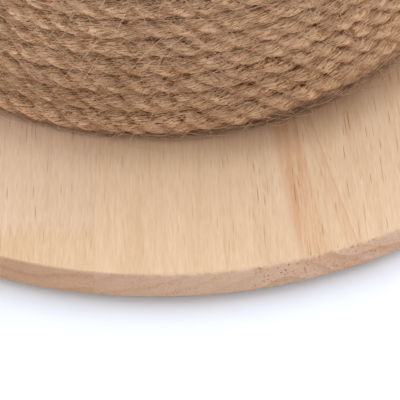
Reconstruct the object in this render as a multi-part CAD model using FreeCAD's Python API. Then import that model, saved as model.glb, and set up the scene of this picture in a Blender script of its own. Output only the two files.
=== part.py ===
"""Jute scratching post: a fat rope-wound post on a round wooden foot, with a round wooden top.

Millimetres. +Z is up and the origin is on the floor under the middle of the post. The front is -Y, and
angles round the post are counted from the front towards +X.
"""
import FreeCAD, Part
import math
import os

from FreeCAD import Placement, Rotation, Vector

# Foot board, a round panel of glued staves
board_diameter = 400.0
board_thickness = 15.0
board_top_round = 1.5
board_under_round = 4.0

# Pads stuck under the foot board
pad_diameter = 30.0
pad_thickness = 2.5
pad_round = 0.8
pad_ring_diameter = 340.0
pad_count = 6

# Card tube that carries the rope
tube_diameter = 245.0
tube_wall = 6.0
tube_length = 467.5

# Wooden plugs in the two ends of the tube
plug_thickness = 18.0
plug_clearance = 0.3
plug_edge_bevel = 1.0

# Round top board
top_diameter = 280.0
top_thickness = 15.0
top_upper_round = 4.0
top_under_round = 3.0

# Bolts that hold the post to the foot board, in counterbores from below
bolt_diameter = 6.0
bolt_head_diameter = 10.5
bolt_head_height = 3.3
bolt_head_round = 1.2
bolt_socket_width = 4.0
bolt_socket_depth = 2.0
bolt_tip_recess = 2.5
bolt_tip_bevel = 0.6
bolt_hole_clearance = 0.3
bolt_ring_diameter = 160.0
bolt_count = 4
bolt_first_angle = 45.0

# Washers under the bolt heads
washer_diameter = 18.0
washer_thickness = 1.5
counterbore_depth = 7.0
counterbore_clearance = 1.0

# Tee nuts pressed into the lower plug from inside
tee_nut_flange_diameter = 19.0
tee_nut_flange_thickness = 1.3
tee_nut_barrel_diameter = 7.8
tee_nut_barrel_length = 10.0
tee_nut_prong_length = 6.5
tee_nut_prong_width = 2.6
tee_nut_prong_thickness = 1.2
tee_nut_prong_count = 4
thread_clearance = 0.05
nut_seat_clearance = 0.05

# Countersunk screws through the tube wall into each plug
plug_screw_diameter = 3.5
plug_screw_head_diameter = 7.0
plug_screw_head_height = 2.2
plug_screw_bite = 18.0
plug_screw_count = 6
plug_screw_first_angle = 22.5

# Screws up through the upper plug into the top board
top_screw_diameter = 4.0
top_screw_head_diameter = 8.0
top_screw_head_height = 2.6
top_screw_bite = 10.0
top_screw_ring_diameter = 160.0
top_screw_count = 4
top_screw_first_angle = 45.0

# Common to all the screws
screw_clearance = 0.05
screw_tip_length = 3.0
screw_recess_width = 0.9
screw_recess_depth = 1.2
screw_recess_span_share = 0.55

# Rope, wound from the foot to the top in two lengths
rope_diameter = 9.6
rope_lay_gap = 0.55
rope_seat_clearance = 0.3
climb_middle_angle = 12.0
splice_gap = 1.5

# Wire staples that hold the rope's ends to the tube
staple_wire = 1.2
staple_crown = 6.0
staple_bite = 4.0
staple_clearance = 0.1

# Cuts run past the faces they open by this much
overrun = 1.0

# Points taken along each quarter turn to measure the gap between turns
points_per_arc = 16
arcs_per_turn = 4

# Heights that follow from the sizes above
board_bottom = pad_thickness
board_top = board_bottom + board_thickness
tube_top = board_top + tube_length
lower_plug_top = board_top + plug_thickness
upper_plug_bottom = tube_top - plug_thickness
plug_diameter = tube_diameter - 2 * tube_wall - 2 * plug_clearance
counterbore_top = board_bottom + counterbore_depth
bolt_seat = counterbore_top - washer_thickness
bolt_length = lower_plug_top - bolt_tip_recess - bolt_seat

# The rope's rows that follow from the sizes above
row_pitch = rope_diameter + rope_lay_gap
row_count = int((tube_length - rope_seat_clearance) / row_pitch)
lower_row_count = row_count // 2
first_row_height = board_top + rope_seat_clearance + rope_diameter / 2
rope_radius = tube_diameter / 2 + rope_seat_clearance + rope_diameter / 2

UP = Vector(0, 0, 1)


def spot(angle, radius, height):
    """The point at an angle round the post, in degrees from the front."""
    turn = math.radians(angle)
    return Vector(radius * math.sin(turn), -radius * math.cos(turn), height)


def heading(angle):
    """The level direction in which the rope runs as it passes an angle."""
    turn = math.radians(angle)
    return Vector(math.cos(turn), math.sin(turn), 0)


def ring_angles(count, first_angle):
    """Evenly spaced angles round the post."""
    return [first_angle + 360 * step / count for step in range(count)]


def disc(diameter, bottom, height, middle=Vector(0, 0, 0)):
    """An upright cylinder."""
    return Part.makeCylinder(diameter / 2, height, middle + Vector(0, 0, bottom), UP)


def rim(shape, height):
    """The round edges of a shape that lie level at a height."""
    found = []
    for edge in shape.Edges:
        box = edge.BoundBox
        if math.isclose(box.ZMin, height, abs_tol=1e-6) and math.isclose(box.ZMax, height, abs_tol=1e-6):
            found.append(edge)
    return found


def rounded_disc(diameter, bottom, thickness, upper_round, under_round):
    """A disc with its upper and under edges rounded."""
    board = disc(diameter, bottom, thickness)
    board = board.makeFillet(upper_round, rim(board, bottom + thickness))
    return board.makeFillet(under_round, rim(board, bottom))


def drilled(shape, holes):
    """A shape with holes taken out of it."""
    for hole in holes:
        shape = shape.cut(hole)
    return shape


def together(shapes):
    """A group of separate solids."""
    return Part.makeCompound(shapes)


def base_board():
    """The foot board, with a counterbored hole for each bolt."""
    board = rounded_disc(board_diameter, board_bottom, board_thickness, board_top_round, board_under_round)
    holes = []
    for angle in ring_angles(bolt_count, bolt_first_angle):
        middle = spot(angle, bolt_ring_diameter / 2, 0)
        bore = bolt_diameter + 2 * bolt_hole_clearance
        holes.append(disc(bore, board_bottom - overrun, board_thickness + 2 * overrun, middle))
        well = washer_diameter + 2 * counterbore_clearance
        holes.append(disc(well, board_bottom - overrun, counterbore_depth + overrun, middle))
    return drilled(board, holes)


def floor_pads():
    """Pads in a ring under the foot board."""
    pads = []
    for angle in ring_angles(pad_count, 0):
        pad = disc(pad_diameter, 0, pad_thickness)
        pad = pad.makeFillet(pad_round, rim(pad, 0))
        pads.append(pad.translated(spot(angle, pad_ring_diameter / 2, 0)))
    return together(pads)


def hexagon(width, bottom, height):
    """An upright six-sided prism, measured across its flats."""
    corner = width / math.sqrt(3)
    points = [spot(60 * step, corner, bottom) for step in range(7)]
    return Part.Face(Part.makePolygon(points)).extrude(Vector(0, 0, height))


def base_bolts():
    """Button-headed bolts, head down, from the counterbores up into the tee nuts."""
    head = disc(bolt_head_diameter, bolt_seat - bolt_head_height, bolt_head_height)
    head = head.makeFillet(bolt_head_round, rim(head, bolt_seat - bolt_head_height))
    shank = disc(bolt_diameter, bolt_seat, bolt_length)
    shank = shank.makeChamfer(bolt_tip_bevel, rim(shank, bolt_seat + bolt_length))
    socket = hexagon(bolt_socket_width, bolt_seat - bolt_head_height - overrun, bolt_socket_depth + overrun)
    bolt = head.fuse(shank).cut(socket)
    angles = ring_angles(bolt_count, bolt_first_angle)
    return together([bolt.translated(spot(angle, bolt_ring_diameter / 2, 0)) for angle in angles])


def base_washers():
    """A wide flat washer on each bolt."""
    ring = disc(washer_diameter, bolt_seat, washer_thickness)
    hole = disc(bolt_diameter + 2 * bolt_hole_clearance, bolt_seat - overrun, washer_thickness + 2 * overrun)
    washer = ring.cut(hole)
    angles = ring_angles(bolt_count, bolt_first_angle)
    return together([washer.translated(spot(angle, bolt_ring_diameter / 2, 0)) for angle in angles])


def nut_prongs(clearance):
    """The prongs of one tee nut on the post's axis, or with a clearance the slots that they fill."""
    prongs = []
    thickness = tee_nut_prong_thickness + 2 * clearance
    width = tee_nut_prong_width + 2 * clearance
    length = tee_nut_prong_length + clearance
    outer = tee_nut_flange_diameter / 2 + clearance
    for angle in ring_angles(tee_nut_prong_count, 0):
        prong = Part.makeBox(thickness, width, length)
        prong.translate(Vector(outer - thickness, -width / 2, lower_plug_top - length))
        prong.rotate(Vector(0, 0, 0), UP, angle)
        prongs.append(prong)
    return prongs


def tee_nuts():
    """Nuts with a threaded barrel, a flange on the plug's inner face and prongs bent into the wood."""
    flange = disc(tee_nut_flange_diameter, lower_plug_top, tee_nut_flange_thickness)
    barrel = disc(tee_nut_barrel_diameter, lower_plug_top - tee_nut_barrel_length, tee_nut_barrel_length)
    nut = flange.fuse(barrel).fuse(nut_prongs(0)).removeSplitter()
    thread_length = tee_nut_barrel_length + tee_nut_flange_thickness + 2 * overrun
    thread_bottom = lower_plug_top - tee_nut_barrel_length - overrun
    nut = nut.cut(disc(bolt_diameter + 2 * thread_clearance, thread_bottom, thread_length))
    angles = ring_angles(bolt_count, bolt_first_angle)
    return together([nut.translated(spot(angle, bolt_ring_diameter / 2, 0)) for angle in angles])


def screw(diameter, head_diameter, head_height, length, countersunk, clearance=0):
    """A screw along +Z with its head's top at the origin's level and its tip up.

    The head is a cone or a flat cylinder under the shank, and a clearance gives the hole for the screw.
    """
    grown = diameter + 2 * clearance
    head_grown = head_diameter + 2 * clearance
    if countersunk:
        head = Part.makeCone(head_grown / 2, grown / 2, head_height)
    else:
        head = disc(head_grown, 0, head_height)
    shank = disc(grown, 0, head_height + length - screw_tip_length)
    tip_bottom = head_height + length - screw_tip_length
    tip = Part.makeCone(grown / 2, 0, screw_tip_length + clearance, Vector(0, 0, tip_bottom))
    whole = head.fuse(shank).fuse(tip).removeSplitter()
    if clearance:
        return whole
    span = head_diameter * screw_recess_span_share
    for length_x, length_y in ((span, screw_recess_width), (screw_recess_width, span)):
        slot = Part.makeBox(length_x, length_y, screw_recess_depth + overrun)
        whole = whole.cut(slot.translated(Vector(-length_x / 2, -length_y / 2, -overrun)))
    return whole


def inward(shape, angle, height):
    """A shape along +Z laid level, so that it runs from the tube's outer face towards the post's axis."""
    laid = shape.copy()
    laid.Placement = Placement(spot(angle, tube_diameter / 2, height), Rotation(UP, spot(angle, -1, 0)))
    return laid


def plug_screws(plug_bottom, clearance=0):
    """The countersunk screws through the tube wall into a plug, or the holes for them."""
    length = tube_wall + plug_clearance + plug_screw_bite - plug_screw_head_height
    one = screw(plug_screw_diameter, plug_screw_head_diameter, plug_screw_head_height, length, True, clearance)
    height = plug_bottom + plug_thickness / 2
    return [inward(one, angle, height) for angle in ring_angles(plug_screw_count, plug_screw_first_angle)]


def top_screws(clearance=0):
    """The screws up through the upper plug into the top board, or the holes for them."""
    length = plug_thickness + top_screw_bite
    one = screw(top_screw_diameter, top_screw_head_diameter, top_screw_head_height, length, False, clearance)
    bottom = upper_plug_bottom - top_screw_head_height
    angles = ring_angles(top_screw_count, top_screw_first_angle)
    return [one.translated(spot(angle, top_screw_ring_diameter / 2, bottom)) for angle in angles]


def plug(bottom):
    """A bevelled disc that fills one end of the tube."""
    blank = disc(plug_diameter, bottom, plug_thickness)
    return blank.makeChamfer(plug_edge_bevel, rim(blank, bottom) + rim(blank, bottom + plug_thickness))


def lower_plug():
    """The plug over the foot board, drilled for the tee nuts and the screws in its edge."""
    holes = plug_screws(board_top, screw_clearance)
    nut_bore = tee_nut_barrel_diameter + 2 * nut_seat_clearance
    bore = disc(nut_bore, board_top - overrun, plug_thickness + 2 * overrun)
    for angle in ring_angles(bolt_count, bolt_first_angle):
        middle = spot(angle, bolt_ring_diameter / 2, 0)
        for hole in [bore] + nut_prongs(nut_seat_clearance):
            holes.append(hole.translated(middle))
    return drilled(plug(board_top), holes)


def upper_plug():
    """The plug under the top board, drilled for the screws through it and in its edge."""
    holes = plug_screws(upper_plug_bottom, screw_clearance) + top_screws(screw_clearance)
    return drilled(plug(upper_plug_bottom), holes)


def top_board():
    """The top board, with pilot holes for the screws from below."""
    board = rounded_disc(top_diameter, tube_top, top_thickness, top_upper_round, top_under_round)
    return drilled(board, top_screws(screw_clearance))


def row_height(row):
    """The height of the rope's middle on a row."""
    return first_row_height + row * row_pitch


def straight_angle():
    """How far round the post a straight end of one rope diameter reaches."""
    return math.degrees(math.atan(rope_diameter / rope_radius))


def lower_stations():
    """Angles and heights at every half turn of the lower rope: level round the back, up across the front."""
    start = climb_middle_angle + 90
    stations = []
    for row in range(lower_row_count):
        stations.append((start + 360 * row, row_height(row)))
        stations.append((start + 360 * row + 180, row_height(row)))
    stations.append((start + 360 * lower_row_count, row_height(lower_row_count)))
    return stations


def upper_stations():
    """The same for the upper rope, which starts past the lower rope's end and stops on the last row."""
    start = climb_middle_angle + 90
    splice = 2 * straight_angle() + math.degrees(splice_gap / rope_radius)
    stations = []
    for row in range(lower_row_count, row_count):
        stations.append((start + 360 * row, row_height(row)))
        stations.append((start + 360 * row + 180, row_height(row)))
    first_angle, first_height = stations[0]
    stations[0] = (first_angle + splice, first_height)
    return stations


def tangent_arc(start, direction, end):
    """The three points of the arc that leaves start in a direction and reaches end."""
    chord = end - start
    along = Vector(chord).normalize()
    aside = direction - along * direction.dot(along)
    bulge = chord.Length / 2 * math.tan(direction.getAngle(along) / 2)
    return start, (start + end) / 2 + aside.normalize() * bulge, end


def biarc(start, start_heading, end, end_heading):
    """Two arcs from start to end that keep both headings, with equal tangent lengths."""
    chord = end - start
    bend = 1 - start_heading.dot(end_heading)
    drift = chord.dot(start_heading + end_heading)
    reach = (math.sqrt(drift ** 2 + 2 * bend * chord.dot(chord)) - drift) / (2 * bend)
    middle = (start + end + (start_heading - end_heading) * reach) / 2
    first = tangent_arc(start, start_heading, middle)
    last = tangent_arc(end, end_heading * -1, middle)
    return [Part.Arc(*first).toShape(), Part.Arc(*reversed(last)).toShape()]


def winding_edges(stations):
    """The rope's line: a straight end, a biarc for every half turn, and a straight end."""
    points = [spot(angle, rope_radius, height) for angle, height in stations]
    headings = [heading(angle) for angle, height in stations]
    edges = [Part.makeLine(points[0] - headings[0] * rope_diameter, points[0])]
    for step in range(len(points) - 1):
        edges += biarc(points[step], headings[step], points[step + 1], headings[step + 1])
    edges.append(Part.makeLine(points[-1], points[-1] + headings[-1] * rope_diameter))
    return edges


def line_points(edges):
    """Points spread along the rope's line, as many on each arc."""
    points = []
    for edge in edges:
        points += edge.discretize(Number=points_per_arc + 1)[:-1]
    return points


def least_gap(points):
    """The least clear gap between a rope and its own next turn, measured on points of its line."""
    turn = points_per_arc * arcs_per_turn
    gap = math.inf
    for index, point in enumerate(points):
        for other in points[index + turn * 3 // 4:index + turn * 5 // 4]:
            gap = min(gap, (other - point).Length - rope_diameter)
    return gap


def staple(angle, height, side, clearance=0):
    """A U of square wire through a straight rope end into the tube, or the room for it.

    The end runs ahead of the angle with side 1 and behind it with side -1.
    """
    wire = staple_wire + 2 * clearance
    leg = rope_diameter + rope_seat_clearance + staple_bite + clearance
    half_crown = staple_crown / 2 + clearance
    crown = Part.makeBox(wire, wire, 2 * half_crown)
    crown.translate(Vector(-wire / 2, -staple_wire - clearance, -half_crown))
    legs = []
    for low in (-half_crown, half_crown - wire):
        one = Part.makeBox(wire, leg, wire)
        one.translate(Vector(-wire / 2, -leg, low))
        legs.append(one)
    whole = crown.fuse(legs).removeSplitter()
    if clearance:
        lid = Part.makeBox(wire, overrun, 2 * half_crown)
        whole = whole.fuse(lid.translated(Vector(-wire / 2, 0, -half_crown)))
    whole.translate(Vector(-side * rope_diameter / 2, rope_radius + rope_diameter / 2, 0))
    whole.rotate(Vector(0, 0, 0), UP, angle + 180)
    whole.translate(Vector(0, 0, height))
    return whole


def rope_staples(clearance=0):
    """One staple at each end of both ropes, or the room for them."""
    found = []
    for stations in (lower_stations(), upper_stations()):
        for (angle, height), side in ((stations[0], -1), (stations[-1], 1)):
            found.append(staple(angle, height, side, clearance))
    return found


def jute_rope(stations, name):
    """A round tube along the winding's line, with room for the staples in its ends."""
    edges = winding_edges(stations)
    line = Part.Wire(edges)
    first_heading = heading(stations[0][0])
    section = Part.Wire(Part.makeCircle(rope_diameter / 2, edges[0].Vertexes[0].Point, first_heading))
    tube = line.makePipeShell([section], True, False)
    share = tube.Volume / (math.pi * rope_diameter ** 2 / 4 * line.Length)
    print(name, "length", round(line.Length, 1), "least gap to itself", round(least_gap(line_points(edges)), 3))
    print(name, "solid", tube.isValid(), "volume over section times length", round(share, 6))
    return drilled(tube, rope_staples(staple_clearance))


def core_tube():
    """The card tube, with holes for the screws into the plugs and the staples of the rope."""
    tube = disc(tube_diameter, board_top, tube_length)
    tube = tube.cut(disc(tube_diameter - 2 * tube_wall, board_top - overrun, tube_length + 2 * overrun))
    holes = plug_screws(board_top, screw_clearance) + plug_screws(upper_plug_bottom, screw_clearance)
    return drilled(tube, holes + rope_staples(staple_clearance))


def main():
    """Writes one file for each node."""
    os.makedirs("parts", exist_ok=True)
    nodes = {
        "floor_pads": floor_pads(),
        "base_board": base_board(),
        "base_bolts": base_bolts(),
        "base_washers": base_washers(),
        "tee_nuts": tee_nuts(),
        "lower_plug": lower_plug(),
        "core_tube": core_tube(),
        "lower_plug_screws": together(plug_screws(board_top)),
        "upper_plug": upper_plug(),
        "upper_plug_screws": together(plug_screws(upper_plug_bottom)),
        "top_board": top_board(),
        "top_board_screws": together(top_screws()),
        "jute_rope_lower": jute_rope(lower_stations(), "jute_rope_lower"),
        "jute_rope_upper": jute_rope(upper_stations(), "jute_rope_upper"),
        "rope_end_staples": together(rope_staples()),
    }
    for name, shape in nodes.items():
        shape.exportStep("parts/" + name + ".step")
        print(name, len(shape.Solids), "solids", round(shape.Volume), "mm3", shape.isValid())


main()
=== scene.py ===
"""Dresses the jute scratching post: winds its rope, grows its fuzz, finishes its boards, sets the stage."""
import math
from typing import NamedTuple

import bpy
import numpy as np
from bpy.props import FloatProperty, FloatVectorProperty, IntProperty, PointerProperty
from mathutils import Matrix, Vector


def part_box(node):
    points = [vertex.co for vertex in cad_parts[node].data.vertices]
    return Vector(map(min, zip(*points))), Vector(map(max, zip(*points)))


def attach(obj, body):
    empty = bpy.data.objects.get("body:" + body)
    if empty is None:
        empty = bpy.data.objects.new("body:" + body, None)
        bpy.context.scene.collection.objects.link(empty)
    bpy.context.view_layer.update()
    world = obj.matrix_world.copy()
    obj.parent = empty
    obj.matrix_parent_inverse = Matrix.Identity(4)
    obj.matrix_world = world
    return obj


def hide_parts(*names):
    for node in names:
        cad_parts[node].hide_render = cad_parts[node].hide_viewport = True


bl_info = {
    "name": "Jute Scratching Post",
    "version": (1, 0, 0),
    "blender": (4, 5, 0),
    "location": "View3D > Sidebar > Scratching Post",
    "description": "Winds a scratching post's rope, grows its fuzz, finishes its boards and sets the stage",
    "category": "Object",
}

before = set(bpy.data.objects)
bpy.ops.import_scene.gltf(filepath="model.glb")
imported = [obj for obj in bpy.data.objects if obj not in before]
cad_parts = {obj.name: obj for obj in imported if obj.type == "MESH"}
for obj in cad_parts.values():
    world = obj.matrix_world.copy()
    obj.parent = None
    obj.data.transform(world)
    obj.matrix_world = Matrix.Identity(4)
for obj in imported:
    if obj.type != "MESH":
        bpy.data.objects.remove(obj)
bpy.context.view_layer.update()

MM = 0.001
TURN = 2 * math.pi
_, TUBE_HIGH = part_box("core_tube")
_, BOARD_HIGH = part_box("base_board")
TOP_LOW, TOP_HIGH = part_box("top_board")


class RopeSettings(bpy.types.PropertyGroup):
    """Sizes and colours of the wound jute rope."""

    tube_radius: FloatProperty(
        name="Tube radius", description="Outside radius of the card tube that the rope is wound on",
        default=TUBE_HIGH.x, unit="LENGTH")
    foot: FloatProperty(
        name="Foot", description="Height of the foot board's top, where the winding starts",
        default=BOARD_HIGH.z, unit="LENGTH")
    head: FloatProperty(
        name="Head", description="Height of the top board's underside, where the winding ends",
        default=TOP_LOW.z, unit="LENGTH")
    rows: IntProperty(
        name="Rows", description="Rows of rope from the foot board to the top board", default=46)
    strand_radius: FloatProperty(
        name="Strand radius", description="Radius of one of the rope's three strands",
        default=3.4 * MM, unit="LENGTH")
    strand_offset: FloatProperty(
        name="Strand offset", description="Distance from the rope's middle to the middle of a strand",
        default=1.75 * MM, unit="LENGTH")
    lay_length: FloatProperty(
        name="Lay length", description="Length of rope in which a strand goes round once",
        default=30 * MM, unit="LENGTH")
    climb_start: FloatProperty(
        name="Climb start", description="Angle from the front at which each row starts to climb",
        default=math.radians(-45), subtype="ANGLE")
    climb_end: FloatProperty(
        name="Climb end", description="Angle from the front at which each row has climbed to the next",
        default=math.radians(59), subtype="ANGLE")
    climb_softness: FloatProperty(
        name="Climb softness", description="Angle over which the climb bends in and out",
        default=math.radians(4), subtype="ANGLE")
    splice_angle: FloatProperty(
        name="Splice angle", description="Angle from the front at which the two ropes meet end to end",
        default=math.radians(106.5), subtype="ANGLE")
    splice_row: IntProperty(
        name="Splice row", description="Turns of the lower rope before the splice", default=23)
    splice_gap: FloatProperty(
        name="Splice gap", description="Gap between the ends of the two ropes",
        default=1.5 * MM, unit="LENGTH")
    thinnest: FloatProperty(
        name="Thinnest end", description="Share of the rope's thickness left at its tapered ends",
        default=0.14, subtype="FACTOR")
    settling: FloatProperty(
        name="Settling", description="Power by which the second row sags into the wedge beside the first",
        default=2.2)
    sway: FloatProperty(
        name="Sway", description="How far the hand-wound rows wander up and down",
        default=0.35 * MM, unit="LENGTH")
    uneven_lay: FloatProperty(
        name="Uneven lay",
        description="Share of a turn by which the strands run ahead of an even lay or behind it",
        default=0.045, subtype="FACTOR")
    swell: FloatProperty(
        name="Swell", description="Share by which a strand's thickness varies along it",
        default=0.07, subtype="FACTOR")
    pale: FloatVectorProperty(
        name="Pale fibre", description="Colour of the palest jute fibres",
        default=(0.93, 0.635, 0.420), subtype="COLOR")
    middle: FloatVectorProperty(
        name="Middle fibre", description="Colour of most of the jute fibres",
        default=(0.630, 0.298, 0.142), subtype="COLOR")
    dark: FloatVectorProperty(
        name="Dark fibre", description="Colour of the jute deep between its fibres",
        default=(0.21, 0.058, 0.010), subtype="COLOR")
    straw: FloatVectorProperty(
        name="Straw fibre", description="Colour of the greener patches of jute",
        default=(0.575, 0.31, 0.138), subtype="COLOR")
    fuzz_dark: FloatVectorProperty(
        name="Dark fuzz", description="Colour of the darkest loose fibres",
        default=(0.36, 0.140, 0.040), subtype="COLOR")
    fuzz_pale: FloatVectorProperty(
        name="Pale fuzz", description="Colour of the palest loose fibres",
        default=(0.97, 0.735, 0.515), subtype="COLOR")


class FuzzSettings(bpy.types.PropertyGroup):
    """Counts and sizes of the loose fibres that stand off the rope."""

    low_count: IntProperty(
        name="Low fibres", description="Loose fibres on the lowest rows", default=21000)
    high_count: IntProperty(
        name="High fibres", description="Loose fibres on all the rows above", default=12000)
    stray_count: IntProperty(
        name="Strays", description="Long loose fibres that cross several rows", default=3200)
    fringe_count: IntProperty(
        name="Fringe", description="Loose fibres that hang from the first row onto the foot board",
        default=420)
    board_count: IntProperty(
        name="Board fibres", description="Shed fibres that lie on the foot board", default=16)
    low_rows: IntProperty(
        name="Low rows", description="How many rows count as the lowest ones", default=10)
    length: FloatProperty(
        name="Length", description="Usual length of a loose fibre", default=8 * MM, unit="LENGTH")
    stray_length: FloatProperty(
        name="Stray length", description="Usual length of a stray", default=24 * MM, unit="LENGTH")
    radius: FloatProperty(
        name="Radius", description="Radius of a loose fibre at its root", default=0.11 * MM, unit="LENGTH")
    lift: FloatProperty(
        name="Lift", description="Usual distance of a fibre's tip from the rope",
        default=0.9 * MM, unit="LENGTH")
    fuzzy_side: FloatProperty(
        name="Fuzzy side", description="Angle from the front at which the rope is fuzziest",
        default=math.radians(-35), subtype="ANGLE")
    fuzzy_share: FloatProperty(
        name="Fuzzy share", description="How much the fibres crowd towards the fuzzy side",
        default=0.5, subtype="FACTOR")
    seed: IntProperty(
        name="Seed", description="Start of the random draws", default=7)


class WoodSettings(bpy.types.PropertyGroup):
    """Stave sizes and colours of the rubberwood boards."""

    stave_width: FloatProperty(
        name="Stave width", description="Width of the staves that a board is glued from",
        default=60.7 * MM, unit="LENGTH")
    foot_seam: FloatProperty(
        name="Foot seam", description="Where a glue seam of the foot board lies, to the right of the middle",
        default=-24.5 * MM, unit="LENGTH")
    top_seam: FloatProperty(
        name="Top seam", description="Where a glue seam of the top board lies, to the right of the middle",
        default=11.0 * MM, unit="LENGTH")
    joint_place: FloatProperty(
        name="Joint place", description="Where the finger joint near the foot board's front lies",
        default=-178 * MM, unit="LENGTH")
    pale: FloatVectorProperty(
        name="Pale wood", description="Colour of the palest wood",
        default=(0.88, 0.65, 0.435), subtype="COLOR")
    warm: FloatVectorProperty(
        name="Warm wood", description="Colour of the warmer streaks",
        default=(0.82, 0.575, 0.375), subtype="COLOR")
    heart: FloatVectorProperty(
        name="Heart streak", description="Colour of the reddish streak in the right stave",
        default=(0.70, 0.345, 0.165), subtype="COLOR")
    rosy: FloatVectorProperty(
        name="Rosy wood", description="Colour of the pinker blocks",
        default=(0.88, 0.675, 0.51), subtype="COLOR")
    pore: FloatVectorProperty(
        name="Pores", description="Colour inside the wood's open pores",
        default=(0.50, 0.20, 0.075), subtype="COLOR")
    end: FloatVectorProperty(
        name="End grain", description="Tint of plain wood where it is cut across the grain",
        default=(0.565, 0.40, 0.335), subtype="COLOR")
    # Painted light: the rim's end grain goes from the End tint on the left of the board to this paler tint on
    # its right
    lit_side_end_colour: FloatVectorProperty(
        name="Pale end grain", description="Tint of figured wood where it is cut across the grain",
        default=(0.90, 0.835, 0.89), subtype="COLOR")


class StageSettings(bpy.types.PropertyGroup):
    """Camera place, light level and floor of the stage."""

    distance: FloatProperty(
        name="Camera distance", description="Distance from the camera to the middle of the post's foot",
        default=1.05686, unit="LENGTH")
    elevation: FloatProperty(
        name="Camera elevation", description="Angle of the camera above the floor, seen from the post's foot",
        default=math.radians(43.247), subtype="ANGLE")
    pan: FloatProperty(
        name="Pan", description="Turn of the camera to the right of the post's middle",
        default=math.radians(1.512), subtype="ANGLE")
    dip: FloatProperty(
        name="Dip", description="Turn of the camera below the post's foot",
        default=math.radians(6.068), subtype="ANGLE")
    roll: FloatProperty(
        name="Roll", description="Turn of the camera about its own line of sight",
        default=math.radians(0.995), subtype="ANGLE")
    focal_length: FloatProperty(
        name="Focal length", description="Focal length on a sensor 36 mm wide", default=217.86,
        unit="CAMERA")
    bright_sky: FloatProperty(
        name="Bright sky", description="Strength of the soft light from behind and from the sides",
        default=1.97)
    dim_sky: FloatProperty(
        name="Dim sky", description="Strength of the soft light from the camera's side", default=0.63)
    floor_size: FloatProperty(
        name="Floor size", description="Length of the floor's sides", default=12.0, unit="LENGTH")
    floor: FloatVectorProperty(
        name="Floor", description="Colour of the floor", default=(0.90, 0.90, 0.91), subtype="COLOR")
    floor_seen: FloatVectorProperty(
        name="Floor seen",
        description="Colour in which the camera sees the floor, so that it is white with cool shade",
        default=(1.05, 1.14, 1.29), subtype="COLOR", max=2.0)


class Wire:
    """One output of a node. Arithmetic on a wire that carries a number adds the nodes that work it out."""

    def __init__(self, bench, socket):
        self.bench = bench
        self.socket = socket

    def __add__(self, other):
        return self.bench.math("ADD", self, other)

    def __sub__(self, other):
        return self.bench.math("SUBTRACT", self, other)

    def __rsub__(self, other):
        return self.bench.math("SUBTRACT", other, self)

    def __mul__(self, other):
        return self.bench.math("MULTIPLY", self, other)

    def __truediv__(self, other):
        return self.bench.math("DIVIDE", self, other)

    def __pow__(self, other):
        return self.bench.math("POWER", self, other)

    def __abs__(self):
        return self.bench.math("ABSOLUTE", self)

    __rmul__ = __mul__


class NodeBench:
    """Adds nodes to one tree. An input can be given a number, a colour, a wire or a node's output."""

    def __init__(self, tree):
        self.tree = tree

    def add(self, kind, inputs=None, **settings):
        """A new node with its settings made and its inputs filled or joined."""
        node = self.tree.nodes.new(kind)
        for name, value in settings.items():
            setattr(node, name, value)
        for name, value in (inputs or {}).items():
            self.fill(node.inputs[name], value)
        return node

    def wire(self, output, kind, inputs=None, **settings):
        """One output of a new node, by its name or number."""
        return Wire(self, self.add(kind, inputs, **settings).outputs[output])

    def fill(self, socket, value):
        """Joins another node's output to an input, or sets the input."""
        if isinstance(value, Wire):
            value = value.socket
        if isinstance(value, bpy.types.NodeSocket):
            self.tree.links.new(value, socket)
        elif socket.type == "RGBA":
            socket.default_value = (*value[:3], 1.0)
        else:
            socket.default_value = value

    def math(self, operation, *values):
        """One arithmetic step on numbers."""
        return self.wire(0, "ShaderNodeMath", dict(enumerate(values)), operation=operation)

    def most(self, first, *others):
        """The largest of some numbers."""
        for other in others:
            first = self.math("MAXIMUM", first, other)
        return first

    def vector(self, operation, *values, output="Vector"):
        """One arithmetic step on vectors."""
        return self.wire(output, "ShaderNodeVectorMath", dict(enumerate(values)), operation=operation)

    def scaled(self, vector, x, y, z):
        """A vector with each of its parts multiplied."""
        return self.vector("MULTIPLY", vector, (x, y, z))

    def join(self, x, y, z):
        """A vector from its three parts."""
        return self.wire(0, "ShaderNodeCombineXYZ", {"X": x, "Y": y, "Z": z})

    def length(self, x, y, z):
        """The length of a vector, from its three parts."""
        return self.vector("LENGTH", self.join(x, y, z), output="Value")

    def split(self, vector):
        """The three parts of a vector."""
        return [Wire(self, part) for part in self.add("ShaderNodeSeparateXYZ", {"Vector": vector}).outputs]

    def attribute(self, name):
        """A number that the mesh holds for each of its points."""
        return self.wire("Fac", "ShaderNodeAttribute", attribute_name=name)

    def noise(self, vector, scale=1.0, detail=2.0, roughness=0.5):
        """Cloudy noise from about 0 to 1."""
        inputs = {"Vector": vector, "Scale": scale, "Detail": detail, "Roughness": roughness}
        return self.wire("Fac", "ShaderNodeTexNoise", inputs)

    def cells(self, vector, scale=1.0):
        """Distance to the nearest of many scattered points."""
        return self.wire("Distance", "ShaderNodeTexVoronoi", {"Vector": vector, "Scale": scale})

    def step(self, value, low, high, start=0.0, end=1.0):
        """Goes smoothly from start, at low, to end, at high."""
        inputs = {"Value": value, "From Min": low, "From Max": high, "To Min": start, "To Max": end}
        return self.wire(0, "ShaderNodeMapRange", inputs, interpolation_type="SMOOTHSTEP")

    def fade(self, value, low, high, start=1.0):
        """Goes smoothly from start, at low, to nought, at high."""
        return self.step(value, low, high, start, 0.0)

    def mix(self, share, first, second, blend="MIX"):
        """Two colours mixed by a share."""
        inputs = {0: share, 6: first, 7: second}
        return self.wire(2, "ShaderNodeMix", inputs, data_type="RGBA", blend_type=blend)

    def tinted(self, colour, tint):
        """A colour times another one."""
        return self.mix(1.0, colour, tint, "MULTIPLY")


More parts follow.
